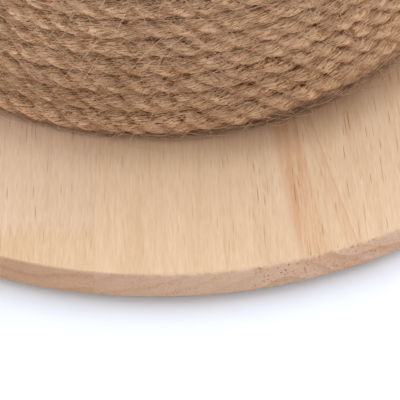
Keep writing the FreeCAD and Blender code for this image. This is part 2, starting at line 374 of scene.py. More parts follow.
def new_group(name, inputs, outputs):
    """An empty shader node group: its bench, the wires from its inputs by label, and its output node."""
    tree = bpy.data.node_groups.new(name, "ShaderNodeTree")
    for in_out, sockets in (("INPUT", inputs), ("OUTPUT", outputs)):
        for label, kind in sockets:
            tree.interface.new_socket(label, in_out=in_out, socket_type=kind)
    bench = NodeBench(tree)
    entry = bench.add("NodeGroupInput").outputs
    given = {label: Wire(bench, entry[label]) for label, _ in inputs}
    return bench, given, bench.add("NodeGroupOutput")


def new_material(name, roughness=0.8, metallic=0.0, specular=0.3):
    """A material with a Principled shader, and the bench to wire it on."""
    material = bpy.data.materials.new(name)
    material.use_nodes = True
    bench = NodeBench(material.node_tree)
    shader = material.node_tree.nodes["Principled BSDF"]
    shader.inputs["Roughness"].default_value = roughness
    shader.inputs["Metallic"].default_value = metallic
    shader.inputs["Specular IOR Level"].default_value = specular
    return material, bench, shader


def place_of(bench):
    """The place on the object in millimetres."""
    return bench.scaled(bench.wire("Object", "ShaderNodeTexCoord"), 1 / MM, 1 / MM, 1 / MM)


def coat(bench, shader, colour, height, depth):
    """Joins a colour to a shader, and small relief of this depth from a height."""
    bench.fill(shader.inputs["Base Color"], colour)
    relief = bench.wire(0, "ShaderNodeBump", {"Height": height, "Distance": depth, "Strength": 1.0})
    bench.fill(shader.inputs["Normal"], relief)


def seen_plainly(bench):
    """One for what the camera, metal or glass sees, and nought for what only lights other things."""
    path = bench.add("ShaderNodeLightPath").outputs
    return bench.most(path["Is Camera Ray"], path["Is Glossy Ray"], path["Is Transmission Ray"])


def rubberwood_group():
    """Node group: staves of rubberwood along Y with seams, finger joints, growth lines, streaks and pores.

    The wood is solid: each effect is worked out from the place in the board, so the pores are dashes on the
    faces and dots on the end grain, and a streak on the face runs on into the rim. Lengths are in
    millimetres.
    """
    numbers = ["Stave Width", "Seam", "Joint", "Seed", "Radius", "Face", "Rope"]
    colours = ["Pale", "Warm", "Rosy", "Heart", "Pore", "End", "Lit Side End Colour"]
    bench, given, out = new_group(
        "Rubberwood",
        [("Place", "NodeSocketVector")]
        + [(name, "NodeSocketFloat") for name in numbers]
        + [(name, "NodeSocketColor") for name in colours],
        [("Colour", "NodeSocketColor"), ("Height", "NodeSocketFloat"), ("Roughness", "NodeSocketFloat")])
    x, y, z = bench.split(given["Place"])
    stave_width, radius = given["Stave Width"], given["Radius"]

    # Staves side by side, and blocks end to end in each stave with a finger joint between them
    tooth_pitch, tooth_length, block_length, golden = 4.05, 9.0, 420.0, 0.618
    across = x - given["Seam"]
    stave = bench.math("FLOOR", across / stave_width)
    inside = across - stave * stave_width
    tooth = bench.math("PINGPONG", inside, tooth_pitch / 2)
    tooth = tooth * (2 * tooth_length / tooth_pitch) - tooth_length / 2
    shift = bench.math("FRACT", (stave + 1.0) * golden)
    along = (y - given["Joint"] + tooth - shift * block_length) / block_length
    block = bench.math("FLOOR", along)

    def chance(stave_step, block_step, start):
        """A share from 0 to 1 that jumps from stave to stave and from block to block."""
        return bench.math("FRACT", stave * stave_step + block * block_step + start + given["Seed"])

    # Each block has its own figure, tone, slope of the grain and place in the log
    first, second, third = chance(0.381, 0.15, 0.689), chance(0.271, 0.43, 0.35), chance(0.617, 0.29, 0.12)
    tone, porous = chance(0.15, 0.70, 0.95), chance(0.65, 0.15, 0.40)
    figure = first * first
    figured = porous * 0.75 + 0.32
    apart = bench.scaled(bench.join(first, second, third), 970.0, 2300.0, 410.0)

    def grain_place(slope):
        """The place in the log, with the grain turned by the block's figure."""
        return bench.vector("ADD", bench.join(inside + figure * y * slope, y, z), apart)

    def grain_noise(place, crosswise, lengthwise, detail, roughness=0.5):
        """Noise drawn out along the grain, from its waves in a millimetre across the grain and along it."""
        return bench.noise(bench.scaled(place, crosswise, lengthwise, crosswise), 1.0, detail, roughness)

    band_grain, line_grain = grain_place(0.18), grain_place(0.06)
    broad = grain_noise(band_grain, 0.16, 0.006, 3.0, 0.55)
    fine = grain_noise(line_grain, 0.75, 0.026, 4.0, 0.65)
    hair = grain_noise(line_grain, 1.6, 0.15, 2.0, 0.6)
    waver = grain_noise(band_grain, 0.035, 0.004, 0.0)
    zone = grain_noise(line_grain, 0.09, 0.012, 1.0)

    # Growth rings about a pith that lies below the board
    ring_gap, ring_waver = 8.5, 22.0
    pith_across = second * 90.0 - 15.0
    pith_height = third * -70.0 - 25.0
    ring_radius = bench.length(inside - pith_across, 0.0, z - pith_height) + waver * ring_waver
    ring = bench.math("FRACT", ring_radius / ring_gap)
    ring_line = bench.step(ring, 0.45, 0.93) * bench.fade(ring, 0.93, 1.0)

    # The rim shows end grain where it is cut across the fibres
    reach = bench.length(x, y, 0.0)
    rim = bench.fade(radius - reach, 0.1, 1.3)
    end_grain = rim * bench.step(abs(y / radius), 0.25, 0.8)

    def pores(width, length, thin, thick):
        """Dashes along the grain, in cells of this width and length, each with its own darkness."""
        place = bench.scaled(line_grain, 1 / width, 1 / length, 1 / width)
        spots = bench.add("ShaderNodeTexVoronoi", {"Vector": place, "Scale": 1.0}).outputs
        darkness = bench.step(bench.split(spots["Color"])[0], 0.1, 1.0, 0.15, 1.0)
        return bench.fade(spots["Distance"], thin, thick) * darkness

    # Open pores, more of them in some blocks and zones than in others, and most in a band of the chosen stave
    dot_density, speck_gap = 0.66, 10.0
    chosen = bench.math("COMPARE", stave, 1.0, 0.25)
    below = z - given["Face"]
    crowd = bench.step(zone, 0.30, 0.58, 0.35, 1.0) * figured
    dashes = bench.most(pores(1.3, 36.0, 0.10, 0.20), pores(1.0, 18.0, 0.12, 0.24)) * crowd
    dots = bench.cells(bench.scaled(bench.join(x, 0.0, z), dot_density, 0.0, dot_density))
    dots = bench.fade(dots, 0.19, 0.32) * end_grain
    cluster = bench.noise(bench.scaled(line_grain, 0.07, 0.0, 0.11), detail=1.0)
    cluster = bench.step(cluster, 0.40, 0.58, 0.12, 0.8) * figured
    flecked = bench.step(inside, 19.0, 27.0, 1.0, 0.2) * bench.step(below, -14.0, -5.0, 0.3, 1.0)
    pore = bench.most(dashes, dots * bench.most(cluster, chosen * flecked))
    specks = bench.fade(bench.cells(given["Place"], 1 / speck_gap), 0.015, 0.036)

    # A reddish heart streak and growth lines in the chosen stave, drifting outwards towards the rim
    heart_place, heart_drift, line_place, line_drift, line_gap = 6.3, 0.153, 4.8, 0.245, 3.5
    wander = inside + below * 1.5 + waver * 5.0 - 2.5
    heart = y * heart_drift + heart_place + wander
    heart = bench.step(heart, -8.0, -3.0) * bench.fade(heart, 5.0, 7.0)
    heart = heart * bench.step(hair * 0.5 + fine, 0.66, 0.84, 0.16, 1.0)
    growth = y * line_drift + line_place + wander
    near_line = bench.fade(abs(growth), 0.1, 0.5)
    far_line = bench.fade(abs(growth + line_gap), 0.1, 0.5, 0.7)
    haze = bench.step(growth, -6.0, 0.0, 0.0, 0.35) * bench.fade(growth, 0.0, 0.4)
    lines = bench.most(near_line, far_line) * bench.step(hair, 0.30, 0.62, 0.35, 1.0)
    heart = bench.most(heart, lines, haze) * chosen

    # The colours, from the broad tones to the pores
    warmth = bench.step(broad, 0.34, 0.74) * (figure * 0.25 + 0.30)
    colour = bench.mix(tone * 0.8, given["Pale"], given["Rosy"])
    colour = bench.mix(warmth, colour, given["Warm"])
    ring_depth = end_grain * porous * 0.17 + 0.04
    shade = fine * 0.26 + hair * 0.34 + 0.70 - ring_line * ring_depth
    shade = shade * bench.step(third, 0.20, 0.45, 0.97, 1.0)
    colour = bench.tinted(colour, bench.join(shade**0.7, shade, shade**1.5))
    colour = bench.mix(heart * 0.56, colour, given["Heart"])
    aside = x / radius
    # End grain tint, paler towards the board's right side: the paling is painted light
    end_tint_and_side_light = bench.mix(bench.step(aside, -0.55, 0.30, 0.28, 0.95), given["End"], given["Lit Side End Colour"])
    colour = bench.mix(end_grain, colour, bench.tinted(colour, end_tint_and_side_light))
    colour = bench.mix(pore * (end_grain * 0.20 + 0.75), colour, given["Pore"])
    colour = bench.mix(specks * 0.7, colour, given["Pore"])

    # A soft brown tint round the rope's foot, deepest on the right, stands for the deep shade there
    depth = bench.step(aside, 0.0, 0.30, 0.22, 0.50) + bench.fade(aside, -0.45, -0.15, 0.12)
    depth = depth * bench.fade(reach - given["Rope"], -2.0, 20.0)
    brown = bench.join(1.0 - depth * 0.85, 1.0 - depth, 1.0 - depth * 1.1)
    colour = bench.tinted(colour, brown)

    # Glue lines between staves, and the thin shadow line of each finger joint
    edge = bench.math("MINIMUM", inside, stave_width - inside)
    to_joint = abs(along - bench.math("ROUND", along)) * block_length
    seam = bench.most(bench.fade(edge, 0.05, 0.25, 0.20), bench.fade(to_joint, 0.1, 1.2, 0.25))
    colour = bench.mix(seam * 0.45, colour, given["Pore"])

    bench.fill(out.inputs["Colour"], colour)
    bench.fill(out.inputs["Height"], hair * 0.15 - pore)
    bench.fill(out.inputs["Roughness"], fine * 0.2 + 0.45)


def wood_material(name, seam, joint, seed, corner, rope_reach):
    """Sanded rubberwood with its staves, seams and joints placed for one board."""
    wood = bpy.context.scene.post_wood
    material, bench, shader = new_material(name, specular=0.25)
    group = bench.add("ShaderNodeGroup", node_tree=bpy.data.node_groups["Rubberwood"])
    lengths = {"Stave Width": wood.stave_width, "Seam": seam, "Joint": joint, "Radius": corner.x,
               "Face": corner.z, "Rope": rope_reach}
    values = {"Place": place_of(bench), "Seed": seed, "Pale": wood.pale, "Warm": wood.warm, "Rosy": wood.rosy,
              "Heart": wood.heart, "Pore": wood.pore, "End": wood.end, "Lit Side End Colour": wood.lit_side_end_colour}
    values.update({label: length / MM for label, length in lengths.items()})
    for label, value in values.items():
        bench.fill(group.inputs[label], value)
    coat(bench, shader, group.outputs["Colour"], group.outputs["Height"], 0.03 * MM)
    bench.fill(shader.inputs["Roughness"], group.outputs["Roughness"])
    return material


def rope_material():
    """Jute: bundles of fibre along the rope, with pale backs, dark gaps of painted shade between them, and
    hairs across.
    """
    rope = bpy.context.scene.post_rope
    material, bench, shader = new_material("jute rope", roughness=0.9, specular=0.08)
    along, around, _ = bench.split(bench.wire(0, "ShaderNodeUVMap", uv_map="Fibre"))
    along, around = along / MM, around / MM
    sway = bench.noise(bench.join(along / 14.0, around / 4.0, 2.0))

    def streaks(length, width, slant, place, detail=1.0):
        """Cloudy noise drawn out on a slant to the rope: streaks of this length and width in millimetres."""
        forward = around * math.sin(slant) + along * math.cos(slant)
        across = around * math.cos(slant) - along * math.sin(slant) + sway * 2.2
        return bench.noise(bench.join(forward / length, across / width, place), 1.0, detail, 0.6)

    def hairs(length, width, slant, place):
        """Thin lines on a slant to the rope, where the noise crosses its middle."""
        return bench.fade(abs(streaks(length, width, slant, place, 0.0) - 0.5), 0.03, 0.09)

    fibre_slant = 0.16
    bundle = streaks(8.0, 1.15, fibre_slant, 0.0)
    thread = streaks(4.5, 0.48, fibre_slant, 5.0)
    patch = streaks(10.0, 2.6, fibre_slant, 9.0)
    tone = bench.noise(bench.join(along / 70.0, 0.0, 3.0), detail=1.0)
    hue = bench.noise(bench.join(along / 16.0, around / 9.0, 7.0), detail=1.0)
    valley, fullness = bench.attribute("valley"), bench.attribute("fullness")
    outward = around / (rope_thickness(rope) / MM) - math.pi
    # Painted shade on the rope's sides that face the next rows, away from its outer side, less where the rope
    # thins
    painted_row_shade = bench.step(abs(outward), 0.7, 1.25) * fullness * bench.step(patch, 0.35, 0.65, 1.5, 0.5)
    crossed = bench.most(hairs(6.0, 1.1, 0.5, 13.0), hairs(6.0, 1.1, -0.55, 17.0),
                         hairs(5.0, 1.3, 1.0, 19.0), hairs(5.0, 1.3, -1.0, 23.0))
    solid = bench.step(abs(bundle - 0.5), 0.0, 0.085)
    fine = bench.step(thread, 0.38, 0.60)

    # How pale the jute is: threads and hairs on the bundles' backs, and painted shade in the gaps between
    # bundles
    level = fine * 0.92 + solid * 0.30 + crossed * 0.48
    level = level + patch * 0.50 + tone * 0.3 - 0.57
    # Painted highlight on the strands' crests, and painted shade in the valleys between strands
    level = level + bench.fade(valley, 0.02, 0.35, 0.08) - bench.step(valley, 0.32, 0.58, 0.0, 0.36)
    # Painted light on the rope's thin ends, which lie in shade under the next row; painted shade on the sides
    # that face the next rows
    level = level + 0.55 * (1.0 - fullness) - painted_row_shade * 0.36
    middle = bench.mix(bench.step(hue, 0.36, 0.64), rope.middle, rope.straw)
    colour = bench.mix(bench.step(level, 0.0, 0.5), rope.dark, middle)
    colour = bench.mix(bench.step(level, 0.5, 1.0), colour, rope.pale)
    coat(bench, shader, colour, solid * 0.6 + fine * 0.4 + crossed * 0.3, 0.45 * MM)
    return material


def fibre_material():
    """Single jute fibres, each with its own tone."""
    rope = bpy.context.scene.post_rope
    material, bench, shader = new_material("jute fibre", roughness=0.8, specular=0.06)
    colour = bench.mix(bench.attribute("tone"), rope.fuzz_dark, rope.fuzz_pale)
    bench.fill(shader.inputs["Base Color"], colour)
    return material


def card_material():
    """Brown card wound on a slant, with a thin seam where the strips meet."""
    material, bench, shader = new_material("wound card", roughness=0.9)
    place = place_of(bench)
    x, y, z = bench.split(place)
    strip_width, strip_lead = 90.0, 360.0
    turn = bench.math("ARCTAN2", y, x) / TURN
    strip = bench.math("FRACT", (turn * strip_lead + z) / strip_width)
    seam = bench.step(abs(strip - 0.5), 0.488, 0.496)
    pulp = bench.noise(place, 0.9, 4.0, 0.7)
    colour = bench.mix(pulp, (0.36, 0.25, 0.155), (0.52, 0.385, 0.26))
    colour = bench.mix(seam * 0.7, colour, (0.17, 0.11, 0.07))
    coat(bench, shader, colour, pulp * 0.2 - seam, 0.3 * MM)
    return material


def fibreboard_material():
    """Raw fibreboard: short fibres pressed flat, with darker specks."""
    material, bench, shader = new_material("raw fibreboard", roughness=0.85)
    place = place_of(bench)
    felted = bench.noise(bench.scaled(place, 0.8, 0.8, 2.5), 1.0, 5.0, 0.7)
    specks = bench.fade(bench.cells(place, 0.45), 0.06, 0.16)
    colour = bench.mix(felted, (0.42, 0.30, 0.19), (0.62, 0.48, 0.33))
    coat(bench, shader, bench.mix(specks * 0.6, colour, (0.24, 0.15, 0.09)), felted, 0.25 * MM)
    return material


def felt_material():
    """Pressed felt: matted dark wool with paler hairs."""
    material, bench, shader = new_material("pressed felt", roughness=1.0, specular=0.1)
    place = place_of(bench)
    mat = bench.noise(place, 1.6, 5.0, 0.75)
    hairs = bench.step(bench.noise(bench.scaled(place, 6.0, 0.9, 3.0)), 0.60, 0.72)
    colour = bench.mix(mat, (0.10, 0.085, 0.075), (0.26, 0.225, 0.20))
    coat(bench, shader, bench.mix(hairs * 0.5, colour, (0.45, 0.41, 0.37)), mat, 0.5 * MM)
    return material


def zinc_material():
    """Zinc-plated steel: bright, slightly cloudy metal with faint drawn lines."""
    material, bench, shader = new_material("zinc steel", metallic=1.0, specular=0.5)
    place = place_of(bench)
    cloud = bench.noise(place, 0.35, 3.0)
    lines = bench.noise(bench.scaled(place, 6.0, 6.0, 0.4))
    coat(bench, shader, bench.mix(cloud, (0.60, 0.61, 0.63), (0.80, 0.81, 0.82)), lines, 0.02 * MM)
    bench.fill(shader.inputs["Roughness"], lines * 0.25 + 0.22)
    return material


def floor_material():
    """A matt white floor that keeps the shadow; the camera sees it paler and cooler than the light does."""
    stage = bpy.context.scene.post_stage
    material, bench, shader = new_material("white floor")
    place = bench.wire("Object", "ShaderNodeTexCoord")
    paper = bench.mix(seen_plainly(bench), stage.floor, stage.floor_seen)
    grain = bench.step(bench.noise(place, 40.0), 0.0, 1.0, 0.99, 1.0)
    colour = bench.tinted(paper, bench.join(grain, grain, grain))
    matt = bench.wire(0, "ShaderNodeBsdfDiffuse", {"Color": colour})
    bench.fill(bench.tree.nodes["Material Output"].inputs["Surface"], matt)
    bench.tree.nodes.remove(shader)
    return material


def build_mesh(name, points, quads, triangles):
    """A mesh object at the origin from whole arrays: places, four-cornered faces, three-cornered faces."""
    mesh = bpy.data.meshes.new(name)
    corners = np.concatenate([quads.ravel(), triangles.ravel()])
    totals = np.concatenate([np.full(len(quads), 4), np.full(len(triangles), 3)])
    starts = np.concatenate([[0], np.cumsum(totals)[:-1]])
    mesh.vertices.add(len(points))
    mesh.vertices.foreach_set("co", points.astype(np.float32).ravel())
    mesh.loops.add(len(corners))
    mesh.loops.foreach_set("vertex_index", corners.astype(np.int32))
    mesh.polygons.add(len(totals))
    mesh.polygons.foreach_set("loop_start", starts.astype(np.int32))
    mesh.polygons.foreach_set("use_smooth", totals == 4)
    mesh.update(calc_edges=True)
    mesh.validate()
    piece = bpy.data.objects.new(name, mesh)
    bpy.context.scene.collection.objects.link(piece)
    return piece


def add_map(piece, name, *corners):
    """A UV map from arrays with one row for each face corner."""
    layer = piece.data.uv_layers.new(name=name)
    layer.data.foreach_set("uv", np.concatenate(corners).astype(np.float32).ravel())


def add_values(piece, name, values):
    """A number for each point of the mesh, which a material can read."""
    layer = piece.data.attributes.new(name, "FLOAT", "POINT")
    layer.data.foreach_set("value", values.astype(np.float32).ravel())


def corner_rows(corners):
    """Rows of a UV map, face by face, from arrays of both coordinates for each corner of a grid's faces."""
    return np.stack([np.stack(corner, axis=-1) for corner in corners], axis=-2).reshape(-1, 2)


def round_post(spoke, turn, height):
    """Places from their distance to the post's axis, their angle from its front and their height."""
    return np.stack(np.broadcast_arrays(spoke * np.sin(turn), -spoke * np.cos(turn), height), axis=-1)


def soft_ramp(place, start, end, softness):
    """Zero before start, one after end and straight between them, with both corners rounded.

    A soft corner is softness * log(1 + exp(x / softness)). The ramp is the corner at start less the one at
    end, over the distance between them.
    """
    def corner(x):
        return softness * np.logaddexp(0.0, x / softness)
    return (corner(place - start) - corner(place - end)) / (end - start)


def rows_climbed(angle, rope):
    """Rows from the foot board to the rope's upper side: one more each turn, gained across the front."""
    middle = (rope.climb_start + rope.climb_end) / 2
    half = (rope.climb_end - rope.climb_start) / 2
    turns = np.floor((angle - middle) / TURN + 0.5)
    return turns + soft_ramp(angle - middle - turns * TURN, -half, half, rope.climb_softness)


def angle_of_rows(rows, rope):
    """The angle, on the first or last climb, at which a number of rows has been climbed."""
    share = rows - math.floor(rows)
    return math.floor(rows) * TURN + rope.climb_start + share * (rope.climb_end - rope.climb_start)


def smooth_draws(random, count, spacing, places):
    """Random draws at even spacing, joined by cosine curves and read off at the given places."""
    draws = random.uniform(-1.0, 1.0, count)
    steps = np.clip(places / spacing, 0, count - 1.001)
    lower = steps.astype(int)
    blend = 0.5 - 0.5 * np.cos(np.pi * (steps - lower))
    return draws[lower] * (1 - blend) + draws[lower + 1] * blend


def rope_thickness(rope):
    """Radius of the rope over its strands."""
    return rope.strand_radius + rope.strand_offset


def standing(share):
    """How far the rope stands off the tube: less where it is squeezed thin under the next row.

    It grows from the least, evenly with the share of the full thickness and then faster with its sixth power.
    """
    least, even, late = 0.45, 0.30, 0.25
    thin = np.minimum(share, 1.0)
    return least + even * thin + late * thin**6


def settled(climbed, rope):
    """Rows climbed once the soft rope has sagged: the first row's climb is raised to a power."""
    first = np.clip(climbed, 0.0, 1.0)
    return climbed + first**rope.settling - first


def rope_course(angle, rope):
    """Middle of the rope at an angle: its height, and its share of the full thickness up and down.

    The rope fills the room between the row below and the row above, so it tapers to nothing where the first
    climb leaves the foot board and where the last climb reaches the top board. Hand winding makes the rows
    wander a little up and down together, less in the two rows at each end: three waves round the post, whose
    phase drifts from row to row.
    """
    calm_rows = 2
    pitch = (rope.head - rope.foot) / rope.rows
    climbed = rows_climbed(angle, rope)
    upper = np.clip(settled(climbed, rope), 0, rope.rows)
    lower = np.clip(settled(climbed - 1, rope), 0, rope.rows)
    level = (upper + lower) / 2
    from_end = np.minimum(level - 0.5, rope.rows - 0.5 - level)
    freedom = np.clip(from_end / calm_rows, 0, 1)
    waves = np.sin(3 * angle + 0.9 * level)
    waves = waves + np.sin(5 * angle - 0.7 * level + 1.3)
    waves = waves + np.sin(11 * angle + 1.1 * level)
    height = rope.foot + pitch * level + rope.sway * freedom * waves / 2
    return height, upper - lower


def wind_rope(name, rope, start, end, step, strand_points, seed):
    """Three-strand rope wound on the tube: a three-lobed profile turned as it is carried along its course.

    Round the rope's middle the profile's reach is b cos(psi) + sqrt(a^2 - b^2 sin^2(psi)), for strands of
    radius a at offset b, with psi the angle from the nearest strand. The strands turn once in a lay length,
    right-handed.
    """
    random = np.random.default_rng(seed)
    thickness = rope_thickness(rope)
    mean_radius = rope.tube_radius + thickness
    rings = max(8, int(round((end - start) * mean_radius / step)))
    sides = 3 * strand_points
    angle = np.linspace(start, end, rings + 1)
    length = angle * mean_radius
    height, share = rope_course(angle, rope)

    # Where each point of the profile lies round the rope: the points keep to their strand as it turns
    slow_wave, quick_wave = 18 * MM, 10.7 * MM
    points_round = np.arange(sides)
    lay = points_round / sides * TURN
    ahead = np.sin(length / slow_wave) + 0.5 * np.sin(length / quick_wave + 1.3)
    turned = lay[None, :] - TURN * (length / rope.lay_length + rope.uneven_lay * ahead)[:, None]
    psi = (lay + math.pi / 3) % (TURN / 3) - math.pi / 3

    def uneven(count, spacing):
        """Smooth random draws along each of the three strands, for each point of the profile."""
        strands = [smooth_draws(random, count, spacing, length - length[0]) for _ in range(3)]
        return np.stack(strands, axis=1)[:, points_round // strand_points]

    swelling = uneven(4000, 22 * MM)
    lumps = uneven(16000, 6 * MM)
    size = 1 + rope.swell * swelling + 0.35 * rope.swell * lumps
    aside = rope.strand_offset * np.sin(psi)
    reach = rope.strand_offset * np.cos(psi) + np.sqrt(rope.strand_radius**2 - aside**2)
    reach = reach[None, :] * size

    up = share[:, None] * reach * np.sin(turned)
    spoke = rope.tube_radius + standing(share)[:, None] * (thickness + reach * np.cos(turned))
    points = round_post(spoke, angle[:, None], height[:, None] + up)
    middles = round_post(mean_radius, angle, height)[[0, -1]]

    ring, side = np.meshgrid(np.arange(rings), points_round, indexing="ij")
    after = (side + 1) % sides
    here, there = ring * sides, (ring + 1) * sides
    quads = np.stack([here + side, there + side, there + after, here + after], axis=2).reshape(-1, 4)
    last, hub = rings * sides, np.full(sides, (rings + 1) * sides)
    points_after = (points_round + 1) % sides
    caps = np.concatenate([
        np.stack([hub, points_round, points_after], axis=1),
        np.stack([hub + 1, last + points_after, last + points_round], axis=1)])
    piece = build_mesh(name, np.concatenate([points.reshape(-1, 3), middles]), quads, caps)

    # Fibre map: length along the rope, and length round it from the side that faces the tube
    bearing = (turned - math.pi) % TURN
    bearing_after = bearing[:, points_after]
    bearing_after = np.where(bearing_after < bearing - math.pi, bearing_after + TURN, bearing_after)
    wrap = np.where(bearing[1:] - bearing[:-1] > math.pi, -TURN, 0.0)
    run = np.repeat(length[:, None], sides, axis=1)
    fibre = corner_rows([
        (run[:-1], bearing[:-1] * thickness), (run[1:], (bearing[1:] + wrap) * thickness),
        (run[1:], (bearing_after[1:] + wrap) * thickness), (run[:-1], bearing_after[:-1] * thickness)])
    add_map(piece, "Fibre", fibre, np.zeros((caps.size, 2)))

    # Bake map: the rope cut into strips that lie side by side in a square, with a little room between them
    strips = max(1, int(round(math.sqrt((length[-1] - length[0]) / (TURN * thickness)))))
    per_strip = math.ceil(rings / strips)
    row, place = ring // per_strip, ring % per_strip
    corners = [(place, side), (place + 1, side), (place + 1, side + 1), (place, side + 1)]
    bake = corner_rows([(u / per_strip, (row + 0.02 + 0.94 * v / sides) / strips) for u, v in corners])
    add_map(piece, "OFBake", bake, np.tile([0.0, 0.985 / strips], (caps.size, 1)))

    deepest = 0.9 * rope.strand_radius
    valley = 1 - (reach - deepest) / (thickness - deepest)
    add_values(piece, "valley", np.concatenate([np.clip(valley, 0, 1).ravel(), [0.5, 0.5]]))
    fullness = np.minimum(share, 1.0)
    add_values(piece, "fullness", np.concatenate([np.repeat(fullness, sides), fullness[[0, -1]]]))
    return piece


def fibre_tubes(name, paths, radii, tones):
    """Thin three-sided tubes that taper along their paths, one for each fibre.

    paths holds, for each fibre, the same number of points. A corner stands off the path by the fibre's radius
    at one of three angles about it, and the last ring is two fifths of the first one's size.
    """
    fibres, rings, _ = paths.shape
    leaning = np.array([0.31, 0.22, 0.93])
    ahead = np.gradient(paths, axis=1)
    ahead /= np.linalg.norm(ahead, axis=2, keepdims=True)
    across = np.cross(ahead, leaning)
    across /= np.linalg.norm(across, axis=2, keepdims=True)
    over = np.cross(ahead, across)
    spin = (np.arange(3) / 3 * TURN)[None, None, :, None]
    taper = np.linspace(1.0, 0.4, rings)[None, :, None, None] * radii[:, None, None, None]
    way_off = across[:, :, None, :] * np.cos(spin) + over[:, :, None, :] * np.sin(spin)
    points = paths[:, :, None, :] + taper * way_off

    fibre, ring, side = np.meshgrid(np.arange(fibres), np.arange(rings - 1), np.arange(3), indexing="ij")
    after = (side + 1) % 3
    base = fibre * rings * 3 + ring * 3
    quads = np.stack([base + side, base + after, base + 3 + after, base + 3 + side], axis=3).reshape(-1, 4)
    root = np.arange(fibres)[:, None] * rings * 3
    tip = root + (rings - 1) * 3
    caps = np.concatenate([root + np.array([[0, 2, 1]]), tip + np.array([[0, 1, 2]])])
    piece = build_mesh(name, points.reshape(-1, 3), quads, caps)

    # Bake map: a small cell for each fibre, with its two caps beside it
    cells = math.ceil(math.sqrt(fibres))
    column, row = fibre % cells, fibre // cells
    corners = [(side, ring), (side + 1, ring), (side + 1, ring + 1), (side, ring + 1)]
    bake = corner_rows([((column + 0.15 + 0.75 * u / 3) / cells, (row + 0.1 + 0.8 * v / (rings - 1)) / cells)
                        for u, v in corners])
    cap_cells = np.tile(np.arange(fibres), 2)
    cap_low = np.repeat([[0.02, 0.1], [0.02, 0.6]], fibres, axis=0)
    cap_base = np.stack([cap_cells % cells, cap_cells // cells], axis=1) + cap_low
    cap_map = (cap_base[:, None, :] + np.array([[[0.0, 0.0], [0.08, 0.0], [0.0, 0.08]]])) / cells
    add_map(piece, "OFBake", bake, cap_map.reshape(-1, 2))
    add_values(piece, "tone", np.repeat(tones, rings * 3))
    return piece


class FibreKind(NamedTuple):
    """How one kind of loose fibre grows: crossing is the share of fibres that run at a wide slant."""

    length: float
    lift: float
    rings: int
    crossing: float
    droop: int = 0
    stoutness: float = 1.0
    darkest: float = 0.0


def fuzz_paths(random, rope, fuzz, count, start, end, kind):
    """Paths of loose fibres that spring from the outside of the rope.

    A fibre starts on the rope's outer side and runs along it, up or down by its own slant, with a bow. Its
    distance from the post's axis grows towards the tip by its lift. Fibres keep above the foot board and
    below the top board, and crowd towards the fuzzy side. Drooping ones spring from the rope's lower side
    and run down.
    """
    angle = random.uniform(start, end, count)
    angle = angle - fuzz.fuzzy_share * np.sin(angle - fuzz.fuzzy_side)
    angle = np.clip(angle, start, end)
    height, share = rope_course(angle, rope)
    lower_side, scatter = -0.9 * kind.droop, 0.75 - 0.4 * kind.droop
    side = random.normal(lower_side, scatter, count)
    root_depth = 0.93 * rope_thickness(rope)
    radius = rope.tube_radius + rope_thickness(rope) * standing(share)
    reach = kind.length * np.exp(random.normal(0.0, 0.42, count))
    crosses = random.random(count) < kind.crossing
    wide = random.uniform(-1.3, 1.3, count)
    narrow = random.normal(0.0, 0.3, count)
    slant = np.where(crosses, wide, narrow)
    slant = np.where(kind.droop > 0, -np.abs(slant), slant)
    way = random.choice([-1.0, 1.0], count)
    bow = random.normal(0.0, 0.22, count)
    least_rise, board_gap = 0.1 * MM, 0.15 * MM
    rise = kind.lift * np.abs(random.normal(0.0, 1.0, count)) + least_rise
    shape = random.uniform(0.0, 1.0, count)[:, None]

    step = np.linspace(0.0, 1.0, kind.rings)[None, :]
    bowed = (bow * reach)[:, None] * (step**2 - step)
    forward = (reach * np.cos(slant) * way)[:, None] * step
    sideways = (reach * np.sin(slant))[:, None] * step + bowed
    lifted = rise[:, None] * (shape * step + (1 - shape) * np.sin(np.pi * step))
    spoke = (radius + root_depth * np.cos(side))[:, None] + lifted
    turn = angle[:, None] + (forward + 0.3 * bowed) / spoke
    climb = (height + root_depth * share * np.sin(side))[:, None] + sideways
    return round_post(spoke, turn, np.clip(climb, rope.foot + board_gap, rope.head - board_gap))


def dress(piece, material, slot, *nodes):
    """Gives a new piece its material and the body it rides on, and hides the nodes that it stands for. The
    slot is not used.
    """
    piece.data.materials.append(material)
    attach(piece, "root")
    if nodes:
        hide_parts(*nodes)


def paint(material, *nodes):
    """Puts a material on nodes that are carried over as they are."""
    for node in nodes:
        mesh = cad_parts[node].data
        mesh.materials.clear()
        mesh.materials.append(material)


class POST_OT_wind_rope(bpy.types.Operator):
    """Wind the lower and the upper rope round the tube, with the lowest rows finest"""

    bl_idname = "scratching_post.wind_rope"
    bl_label = "Wind Rope"

    def execute(self, context):
        rope = context.scene.post_rope
        jute = rope_material()
        mean_radius = rope.tube_radius + rope_thickness(rope)
        splice = rope.splice_row * TURN + rope.splice_angle
        half_gap = rope.splice_gap / 2 / mean_radius
        foot_end = angle_of_rows(rope.thinnest, rope)
        head_end = angle_of_rows(rope.rows + 1 - rope.thinnest, rope)
        # The rope is cut into pieces at the back, after these rows
        second, third, head = (row * TURN + math.pi for row in (4, 9, 34))
        # Step along the rope, and points round each strand
        fine, coarse = (1.4 * MM, 10), (2.4 * MM, 7)
        stretches = [
            ("rope_rows_foot", foot_end, second, fine, "jute_rope_lower"),
            ("rope_rows_second", second, third, fine, "jute_rope_lower"),
            ("rope_rows_third", third, splice - half_gap, coarse, "jute_rope_lower"),
            ("rope_rows_fourth", splice + half_gap, head, coarse, "jute_rope_upper"),
            ("rope_rows_head", head, head_end, coarse, "jute_rope_upper"),
        ]
        for seed, (name, start, end, (step, strand_points), node) in enumerate(stretches):
            piece = wind_rope(name, rope, start, end, step, strand_points, seed)
            dress(piece, jute, "jute", node)
        return {"FINISHED"}


